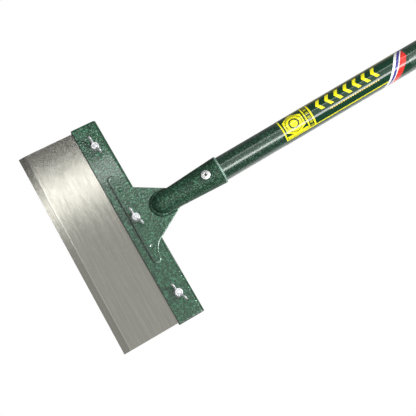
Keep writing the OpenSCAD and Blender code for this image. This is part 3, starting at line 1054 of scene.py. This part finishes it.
@dataclass
class Socket(Assembly):
    """The tapered socket with its round foot, and the two weld beads that hold it."""

    mouth_radius: float = 20 * MM
    wall: float = 2.3 * MM
    lip: float = 0.7 * MM
    slot_half_width: float = 30 * MM
    slot_play: float = 0.1 * MM
    bead: float = 3.4 * MM
    run: float = 16 * MM
    ripple: float = 0.22 * MM
    ripple_pitch: float = 2.1 * MM
    wander: float = 0.13 * MM

    def form(self) -> Shell:
        """The socket: a profile of a quarter circle, a straight taper and a rounded lip, and the
        same inside, turned about the handle."""
        length, foot = self.places.socket_length, self.places.foot_radius
        taper = (self.mouth_radius - foot) / length
        turn = np.linspace(0, QUARTER, 22)
        y = np.linspace(0, length - self.lip, 40)[1:]
        outer, inner = (
            np.vstack([joined(r * np.sin(turn), -r * np.cos(turn)), joined(r + taper * y, y)])
            for r in (foot, foot - self.wall))
        run = quarter(self.lip, 6)[1]
        rise = length - self.lip + self.lip * np.sin(np.linspace(0, QUARTER, 6))
        lip_out = joined(self.mouth_radius - run, rise)
        lip_in = joined(self.mouth_radius - self.wall + run, rise)[::-1]
        profile = np.vstack([outer, lip_out[1:], lip_in[:-1], inner[::-1]])
        return Shell().grid(lathe(profile, 120), loop_columns=True)

    def slot_cutter(self) -> Shell:
        """The saw cut that takes the gusset's tongue, as a flat bar."""
        w, front = self.slot_half_width, self.places.foot_y
        back = self.places.tongue_end + self.slot_play
        low, high = self.places.holder_top - self.slot_play, self.places.gusset_top + self.slot_play
        ring = np.array([[-w, front], [w, front], [w, back], [-w, back]])
        rows = [np.c_[ring * share + (1 - share) * ring.mean(0), np.full(4, z)]
                for share, z in ((0, low), (1, low), (1, high), (0, high))]
        return Shell().grid(np.array(rows), loop_columns=True)

    def weld(self, side: int) -> Shell:
        """A weld bead on one face of the gusset.

        The path runs straight, round the foot's front half and straight back. Its section is half
        a circle that stands on the face, and the half circle's radius swells with every ripple
        the welder's hand leaves, on top of a slow random wander.

        Args:
            side: 1 for the upper face and -1 for the lower one.

        Returns:
            The bead.
        """
        foot = self.places.foot_radius
        bow = math.pi * foot
        s = np.linspace(0, 2 * self.run + bow, 220)
        angle = np.clip((s - self.run) / foot, 0, math.pi)
        back = np.maximum(self.run - s, 0) + np.maximum(s - self.run - bow, 0)
        rng = np.random.default_rng(7 + side)
        phase = np.cumsum(rng.normal(1.0, 0.12, len(s))) * (s[1] - s[0]) / self.ripple_pitch
        wander = np.interp(s, np.linspace(0, s[-1], 15), rng.normal(0, 1, 15))
        radius = self.bead - self.ripple + self.ripple * np.abs(np.sin(math.pi * phase)) ** 0.7
        radius = radius + self.wander * wander
        end = np.clip(np.minimum(s, s[-1] - s) / self.bead, 0, 1)
        radius = (radius * np.sqrt(1 - (1 - end) ** 2))[:, None]
        turn = np.linspace(0, math.pi, 17)
        off = foot + radius * np.append(np.cos(turn), 0.0)
        rise = radius * np.append(np.sin(turn), 0.0)
        x = -off * np.cos(angle)[:, None]
        y = self.places.foot_y + back[:, None] - off * np.sin(angle)[:, None]
        face = self.places.gusset_top if side > 0 else self.places.holder_top
        return Shell().grid(joined(x, y, face + side * rise), loop_columns=True)

    def build(self) -> None:
        """Builds the socket, with its lip marked for a painted highlight, and its welds."""
        socket = stood("socket_tapered_tube", self.form().moved(self.places.along))
        cut(socket, self.slot_cutter().moved(self.places.head))
        from_foot = coordinates(socket.data)[:, 1] - self.places.foot[1]
        # Painted highlight: a light line round the socket's mouth.
        marked(socket.data, 0.5 * (from_foot > self.places.socket_length - 1.5 * self.lip))
        self.dress(socket, Finish.SOCKET, self.body, "socket")
        for side, word in ((1, "upper"), (-1, "lower")):
            bead = stood(f"weld_bead_{word}", self.weld(side).moved(self.places.head))
            self.dress(bead, Finish.SOCKET, self.body, f"socket_weld_{word}")


# ---- Handle ----


@dataclass
class Handle(Assembly):
    """The tubular handle, its end plug and its label."""

    radius: float = 17.5 * MM
    wall: float = 1.6 * MM
    taper: float = 5 / 93
    start: float = 25 * MM
    end: float = 1245 * MM
    lip: float = 0.4 * MM
    bend: float = 3 * MM
    plug_flange: float = 3 * MM
    plug_length: float = 24 * MM
    plug_wall: float = 2.4 * MM
    plug_dish: float = 0.6 * MM
    rib_places: Span = (6 * MM, 14 * MM)
    label_start: float = 189 * MM

    def tube(self) -> Shell:
        """The tube: a closed profile of its wall with rounded rims, turned about the handle. Its
        first stretch narrows into the socket."""
        mouth, inner = self.places.socket_length, self.radius - self.wall
        low = self.radius - self.taper * (mouth - self.start)
        corners = [[low, self.start], [self.radius, mouth], [self.radius, self.end],
                   [inner, self.end], [inner, mouth], [low - self.wall, self.start]]
        radii = [self.lip, self.bend, self.lip, self.lip, self.bend, self.lip]
        ring = resampled(filleted(corners, radii, 5), 40 * MM)
        return Shell().grid(lathe(ring, 128), loop_rows=True, loop_columns=True)

    def plug(self) -> Shell:
        """The end plug: a flange with a soft rim and a shallow dish, a hollow shank and two ribs.
        Each row of the profile is a corner's radius and place, and its fillet in millimetres."""
        r, end = self.radius, self.end
        shank, rib = r - self.wall - 0.6 * MM, r - self.wall - 0.1 * MM
        tip, back, dish = end + self.plug_flange, end - self.plug_length, self.plug_dish
        rows = [[0, tip - dish, 0], [r * 0.62, tip - dish, 1.2], [r * 0.70, tip, 0.8],
                [r, tip, 1.1], [r, end, 0.3], [shank, end, 0.2]]
        for down in self.rib_places:
            y = end - down
            rows += [[shank, y, 0.1], [rib, y - 0.6 * MM, 0.2], [rib, y - 2 * MM, 0.2],
                     [shank, y - 2 * MM, 0.1]]
        hollow = shank - self.plug_wall
        rows += [[shank, back, 0.5], [hollow, back, 0.5], [hollow, end, 1.0], [0, end, 0]]
        table = np.array(rows)
        ring = filleted(table[:, :2], table[:, 2] * MM, 6)
        ring[:, 0] = np.maximum(ring[:, 0], 0)
        return Shell().grid(lathe(ring), loop_columns=True)

    def label(self) -> Shell:
        """The film: a closed strip of its own thickness, wrapped round the tube by an angle."""
        round_share = np.linspace(0, 1, 129)[:, None]
        long_share = np.linspace(0, 1, 21)[None, :]
        angle = (round_share - 0.5) * LABEL_WRAP
        y = self.label_start + long_share * LABEL_LENGTH
        uv = joined(long_share, round_share)
        faces = [joined(r * np.sin(angle), y, r * np.cos(angle))
                 for r in (LABEL_UNDER, LABEL_UNDER + LABEL_FILM)]
        shell = Shell().grid(faces[0], uv=uv).grid(faces[1], uv=uv)
        for side in (np.s_[0, :], np.s_[-1, :], np.s_[:, 0], np.s_[:, -1]):
            shell.grid(np.stack([face[side] for face in faces]), uv=np.stack([uv[side]] * 2))
        return shell

    def build(self) -> None:
        """Builds the tube, plug and label."""
        tube = stood("handle_enamelled_tube", self.tube().moved(self.places.along))
        self.dress(tube, Finish.HANDLE, self.body, "handle_tube")
        plug = stood("handle_moulded_plug", self.plug().moved(self.places.along))
        self.dress(plug, Finish.PLUG, self.body, "handle_end_plug")
        label = stood("label_printed_film", self.label().moved(self.places.handle))
        self.dress(label, Finish.LABEL, self.body, "handle_label")


# ---- Rivet ----


@dataclass
class Rivet(Assembly):
    """The blind rivet that holds the handle in its socket, with what is left of its mandrel."""

    along_y: float = 70 * MM
    seat: float = 18.763 * MM
    sink: float = 0.05 * MM
    flange: float = 6.4 * MM
    flange_height: float = 2 * MM
    dome: float = 1.15 * MM
    rim: float = 0.5 * MM
    shank: float = 3.2 * MM
    bore: float = 1.8 * MM
    bottom: float = 11.16 * MM
    bulge: float = 4.6 * MM
    play: float = 0.1 * MM
    tear: float = 0.14 * MM

    def collar(self, radius: float) -> Array:
        """One ring that lies on the socket's round: height sqrt(seat^2 - (radius cos)^2)."""
        angle = turned(64)[None, :]
        height = np.sqrt(self.seat ** 2 - (radius * np.cos(angle)) ** 2)
        return around(radius, angle, height - self.sink)

    def body_form(self) -> Shell:
        """The rivet: a low domed flange whose rim follows the socket's round, a shank, and the
        bulge inside the tube, all turned about the rivet's axis with an open bore."""
        top = self.seat + self.flange_height
        r = np.linspace(self.bore + self.rim, self.flange - self.rim, 12)
        z = top - self.dome * (r / self.flange) ** 2.4
        turn = np.linspace(0, QUARTER, 6)[1:]
        mouth = np.array([[self.bore, top - 0.9 * MM], [self.bore + 0.12 * MM, top - 0.3 * MM]])
        rim = joined(self.flange - self.rim + self.rim * np.sin(turn),
                     z[-1] - self.rim + self.rim * np.cos(turn))
        upper = lathe(np.vstack([mouth, joined(r, z), rim]), 64)
        under = np.array([[self.shank, 2.7 * MM], [self.bulge - 0.5 * MM, 2.3 * MM],
                          [self.bulge, 1.4 * MM], [self.bulge - 0.4 * MM, 0.4 * MM],
                          [self.bulge - 1.2 * MM, 0], [self.bore, 0]])
        lower = lathe(under + np.array([0, self.bottom]), 64)
        rows = np.vstack([upper, self.collar(self.flange), self.collar(self.shank), lower])
        return Shell().grid(rows, loop_rows=True, loop_columns=True)

    def mandrel(self) -> Shell:
        """The mandrel's stub: a pin with a head below and a torn, cupped end above. The tear is
        the height lowered by waves round the pin that grow towards its rim."""
        stub, head = self.bore - self.play, self.shank
        top = self.seat + self.flange_height - 1.0 * MM
        below = np.array([[0, -2 * MM], [head - 0.4 * MM, -2 * MM], [head, -1.6 * MM],
                          [head, -0.3 * MM], [head - 0.2 * MM, -0.1 * MM], [stub, -0.1 * MM]])
        above = np.array([[stub, -0.5 * MM], [stub * 0.86, -0.12 * MM], [stub * 0.6, -0.05 * MM],
                          [stub * 0.3, -0.3 * MM], [0, -0.36 * MM]])
        p = lathe(np.vstack([below + np.array([0, self.bottom]), above + np.array([0, top])]), 40)
        angle = turned(40)[None, :]
        share = np.clip((p[..., 2] - top + 0.6 * MM) / (0.6 * MM), 0, 1)
        share = share * np.hypot(p[..., 0], p[..., 1]) / stub
        p[..., 2] -= share * self.tear * (1 + np.sin(3 * angle + 0.6) * np.cos(7 * angle))
        return Shell().grid(p, loop_columns=True)

    def place(self, p: Array) -> Array:
        """From the rivet's own frame."""
        return self.places.handle(p + np.array([0, self.along_y, 0]))

    def build(self) -> None:
        """Builds the rivet and its mandrel."""
        rivet = stood("rivet_domed_flange", self.body_form().moved(self.place))
        self.dress(rivet, Finish.RIVET, self.body, "handle_rivet")
        stub = stood("rivet_broken_mandrel", self.mandrel().moved(self.place))
        self.dress(stub, Finish.MANDREL, self.body, "rivet_mandrel")


# ---- Bolts and wing nuts ----


@dataclass
class Clamp(Assembly):
    """One bolt with its wing nut."""

    side: str = "middle"
    x: float = 0.0
    seat: float = 7.1 * MM
    wing_turn: float = math.radians(13)
    under: float = -6.6 * MM
    gap: float = 0.1 * MM
    head_radius: float = 7 * MM
    head_height: float = 3.4 * MM
    neck: float = 3.2 * MM
    neck_height: float = 3.5 * MM
    shank: float = 3 * MM
    pitch: float = 1 * MM
    thread_depth: float = 0.5 * MM
    bore: float = 3.05 * MM
    hub_base: float = 6.35 * MM
    hub_top: float = 5.35 * MM
    hub_height: float = 8 * MM
    proud: float = 1 * MM
    wing_span: float = 30 * MM
    wing_height: float = 16.5 * MM
    wing_root: float = 3.3 * MM
    lobe: float = 4.3 * MM
    wing_half: float = 1.5 * MM
    squareness: float = 0.8
    voxel: float = 0.28 * MM

    def bolt(self) -> Shell:
        """The bolt, as one stack of rings from the head's crown to the thread's tip.

        The neck's rings are rounded squares, half side over the eighth-power mean of cosine and
        sine. The thread's rings fall below the crest by a triangle wave of height over pitch less
        the angle over a turn, so the groove winds up the shank.
        """
        seat = self.under - self.gap
        angle = turned(56)[None, :]
        ball = (self.head_radius ** 2 + self.head_height ** 2) / (2 * self.head_height)
        reach = math.asin((self.head_radius - 0.3 * MM) / ball) * np.linspace(0, 1, 14)
        dome = joined(ball * np.sin(reach), seat - self.head_height + ball * (1 - np.cos(reach)))
        edge = np.array([[self.head_radius, seat - 0.35 * MM], [self.head_radius - 0.15 * MM, seat],
                         [self.neck + 0.9 * MM, seat]])
        head = lathe(np.vstack([dome, edge]), 56)
        square = self.neck / (np.abs(np.cos(angle)) ** 8 + np.abs(np.sin(angle)) ** 8) ** 0.125
        neck_z = seat + np.array([0, self.neck_height - 0.4 * MM, self.neck_height])[:, None]
        neck = around(square * np.array([1.0, 1.0, 0.93])[:, None], angle, neck_z)
        start = seat + self.neck_height
        end = self.seat + self.gap + self.hub_height + self.proud
        z = np.arange(start, end, self.pitch / 8)[:, None]
        wave = 2 * np.abs((z / self.pitch - angle / FULL_TURN) % 1 - 0.5)
        tip = np.clip((z - end + 0.7 * MM) / (0.7 * MM), 0, 1)
        root = np.clip((z - start) / (1.0 * MM), 0, 1)
        radius = self.shank - self.thread_depth * wave * root - 0.45 * MM * tip ** 1.5
        flat = self.shank - 0.95 * MM
        cap = lathe(np.array([[flat, end], [flat * 0.5, end], [0.0, end]]), 56)
        rings = np.vstack([head, neck, around(radius, angle, z), cap])
        return Shell().grid(rings, loop_columns=True)

    def hub(self) -> Shell:
        """The nut's hub: a closed profile with a chamfered mouth, turned about the bore."""
        corners = [[self.bore, 0], [self.hub_base, 0], [self.hub_top, self.hub_height],
                   [self.bore, self.hub_height]]
        profile = filleted(corners, [0.3 * MM, 0.5 * MM, 0.9 * MM, 0.5 * MM], 6)
        rings = lathe(resampled(profile, 0.8 * MM), 72)
        return Shell().grid(rings, loop_rows=True, loop_columns=True)

    def wing(self, way: int) -> Shell:
        """One wing, as ellipses carried along a line that leans out from the hub to the lobe.

        The ellipse is tall and thin. Its height falls a little behind the hub, swells at the lobe
        and closes at the tip along a quarter circle.

        Args:
            way: 1 or -1, the side of the hub that it stands on.

        Returns:
            The wing.
        """
        root = np.array([self.bore + 1.6 * MM, self.hub_height * 0.52])
        lobe = np.array([self.wing_span / 2 - self.lobe, self.wing_height - self.lobe])
        reach = np.linalg.norm(lobe - root)
        lean = (lobe - root) / reach
        body = np.linspace(0, 1, 16)
        cap = np.sin(np.linspace(0, QUARTER, 10))[1:]
        d = np.concatenate([[0.0], body * reach, reach + cap * self.lobe])[:, None]
        high = (self.wing_root - 0.5 * MM * np.sin(math.pi * body)
                + (self.lobe - self.wing_root) * body ** 2)
        high = np.concatenate([[0.0], high, self.lobe * np.sqrt(np.clip(1 - cap ** 2, 0, 1))])
        thick = np.concatenate([[0.0], self.wing_half * (1.25 - 0.3 * body),
                                self.wing_half * 0.95 * np.sqrt(np.clip(1 - cap ** 4, 0, 1))])
        angle = turned(36)[None, :]
        up, wide = (np.sign(wave) * np.abs(wave) ** self.squareness * size[:, None]
                    for wave, size in ((np.cos(angle), high), (np.sin(angle), thick)))
        x = root[0] + lean[0] * d - lean[1] * up
        z = root[1] + lean[1] * d + lean[0] * up
        return Shell().grid(joined(way * x, wide, z), loop_columns=True)

    def nut(self) -> bpy.types.Object:
        """Hub and wings melted into one skin by a voxel remesh and a light smoothing, then turned
        to where the nut stands."""
        nut = stood(f"wing_nut_cast_{self.side}", self.hub().join(self.wing(1)).join(self.wing(-1)))
        melt = nut.modifiers.new("Melt", "REMESH")
        melt.mode = "VOXEL"
        melt.voxel_size = self.voxel
        melt.adaptivity = 0.0
        soften = nut.modifiers.new("Soften", "SMOOTH")
        soften.factor = 0.5
        soften.iterations = 6
        finished(nut)
        place = np.array([self.x, self.places.bolt_y, self.seat + self.gap])
        points = self.places.head(spun(coordinates(nut.data), self.wing_turn) + place)
        nut.data.vertices.foreach_set("co", points.ravel())
        nut.data.update()
        nut.data.shade_smooth()
        return nut

    def place(self, p: Array) -> Array:
        """From the bolt's own frame."""
        return self.places.head(p + np.array([self.x, self.places.bolt_y, 0]))

    def build(self) -> None:
        """Builds the bolt and its wing nut."""
        thread_crease = math.radians(40)
        bolt = stood(f"bolt_threaded_{self.side}", self.bolt().moved(self.place), thread_crease)
        self.dress(bolt, Finish.ZINC, f"bolt_{self.side}", f"bolt_{self.side}")
        self.dress(self.nut(), Finish.ZINC, f"wing_nut_{self.side}", f"wing_nut_{self.side}")


# ---- Studio ----


@dataclass(frozen=True)
class Softbox:
    """One rectangular studio lamp, given by the brightness of its face."""

    name: str
    at: Triple
    aim: Triple
    size: Span
    brightness: float
    long_side: Triple = (0.0, 1.0, 0.0)

    def hang(self) -> None:
        """Makes the lamp and turns it to its aim, its second side along long_side."""
        lamp = bpy.data.lights.new(self.name, "AREA")
        lamp.shape = "RECTANGLE"
        lamp.size, lamp.size_y = self.size
        lamp.energy = self.brightness * math.pi * self.size[0] * self.size[1]
        aimed(bpy.data.objects.new(self.name, lamp), self.at,
              Vector(self.at) - Vector(self.aim), across_from=Vector(self.long_side))


def aimed(made: bpy.types.Object, at: Triple, back: Vector, across_from: Vector) -> None:
    """Links a lamp or camera and places it.

    Args:
        made: The lamp or camera.
        at: Where it stands.
        back: The direction opposite to the one it looks in, its own Z.
        across_from: A direction in the plane of its own Y and Z.
    """
    bpy.context.scene.collection.objects.link(made)
    back = back.normalized()
    across = across_from.cross(back).normalized()
    turn = Matrix((across, back.cross(across), back)).transposed().to_4x4()
    made.matrix_world = Matrix.Translation(at) @ turn


@dataclass
class Studio:
    """White floor, soft lamps and the camera."""

    floor_size: float = 14.0
    floor_drop: float = 0.3 * MM
    # For rays other than camera rays: a dark floor with a painted pool of light, a pale strip
    # across X.
    floor_dark: Colour = (0.14, 0.14, 0.14)
    floor_painted_light: Colour = (0.68, 0.68, 0.68)
    painted_light_run: Span = (0.01, 0.08)
    world_colour: Colour = (0.95, 0.97, 1.0)
    world_strength: float = 0.12
    eye: Triple = (0.18195, -0.53550, 0.83966)
    gaze: Triple = (-0.17376, 0.03798, -0.98405)
    up: Triple = (-0.84486, 0.50766, 0.16878)
    lens: float = 53.04
    lamps: tuple[Softbox, ...] = (
        Softbox("key_strip", at=(-0.408, -0.35, 1.0), aim=(-0.06, -0.45, 0.0),
                size=(0.075, 1.9), brightness=4.4, long_side=(-0.06, 0.85, 0.0)),
        Softbox("right_strip", at=(0.60, -0.05, 1.0), aim=(0.0, -0.15, 0.0),
                size=(0.32, 1.3), brightness=6.8),
        Softbox("overhead_card", at=(0.25, -0.4, 2.3), aim=(0.25, -0.4, 0.0),
                size=(2.2, 4.4), brightness=0.52),
        Softbox("front_fill", at=(0.3, -2.6, 1.2), aim=(0.0, -0.6, 0.0),
                size=(1.6, 1.6), brightness=0.5, long_side=(1.0, 0.0, 0.0)),
        Softbox("back_fill", at=(0.85, 1.7, 1.8), aim=(0.0, -0.55, 0.0),
                size=(0.7, 0.8), brightness=48.0, long_side=(1.0, 0.0, 0.0)),
    )

    def floor(self) -> None:
        """A flat floor, overexposed to plain white where the camera sees it; other rays see a dark
        floor with a painted pool of light in a pale strip.
        """
        half = np.linspace(-self.floor_size / 2, self.floor_size / 2, 3)
        sheet = joined(half[:, None], half[None, :], CAD_BOX[0].z - self.floor_drop)
        g = Graph("Studio floor")
        tone = g.noise(g.place(), 3.0, 2.0, 0.5) * 0.08
        # Painted light: a pale strip from x = 1 to 8 cm, with faint random tone over the whole
        # floor.
        lit = (g.part(g.place(), 0).band(*self.painted_light_run, 0.02) + tone).clamped()
        paint = g.mix(lit, self.floor_dark, self.floor_painted_light)
        matt = g.node("ShaderNodeBsdfDiffuse", None, {"Color": paint})
        white = g.node("ShaderNodeEmission", None, {"Color": (1.0, 1.0, 1.0), "Strength": 1.0})
        seen = g.node("ShaderNodeLightPath", out="Is Camera Ray")
        both = g.node("ShaderNodeMixShader", None, {0: seen, 1: matt, 2: white})
        g.node("ShaderNodeOutputMaterial", None, {"Surface": both})
        floor = stood("studio_floor", Shell().grid(sheet), outwards=False)
        floor.data.materials.append(g.material)

    def world(self) -> None:
        """Even, dim light from all round."""
        world = bpy.data.worlds.new("Studio")
        world.use_nodes = True
        shade = world.node_tree.nodes["Background"]
        shade.inputs["Color"].default_value = (*self.world_colour, 1.0)
        shade.inputs["Strength"].default_value = self.world_strength
        bpy.context.scene.world = world

    def camera(self) -> None:
        """The camera, from its place, its line of sight and its upward direction."""
        data = bpy.data.cameras.new("Camera")
        data.lens, data.sensor_width = self.lens, 36.0
        data.clip_start, data.clip_end = 0.01, 50.0
        made = bpy.data.objects.new("Camera", data)
        aimed(made, self.eye, -Vector(self.gaze), across_from=Vector(self.up))
        bpy.context.scene.camera = made

    def build(self) -> None:
        """Sets up floor, lamps, world and camera."""
        self.floor()
        self.world()
        self.camera()
        for lamp in self.lamps:
            lamp.hang()
        bpy.context.scene.view_settings.view_transform = "Standard"


def clamps(places: Places) -> list[Clamp]:
    """The three bolts with their nuts, from left to right."""
    rows = (("left", -places.bolt_spacing, places.holder_top, 10),
            ("middle", 0.0, places.gusset_top, 13),
            ("right", places.bolt_spacing, places.holder_top, 17))
    return [Clamp(places, side=side, x=x, seat=seat, wing_turn=math.radians(turn))
            for side, x, seat, turn in rows]


def main() -> None:
    """Builds the studio and every sub-assembly."""
    logging.basicConfig(level=logging.INFO, format="%(message)s")
    Studio().build()
    places = Places()
    for assembly in (Blade(places), Holder(places), Socket(places), Handle(places), Rivet(places),
                     *clamps(places)):
        assembly.build()
        for piece in assembly.pieces:
            faces = len(piece.data.polygons)
            log.info("%s: %s, %d faces", type(assembly).__name__, piece.name, faces)


if __name__ == "__main__":
    main()
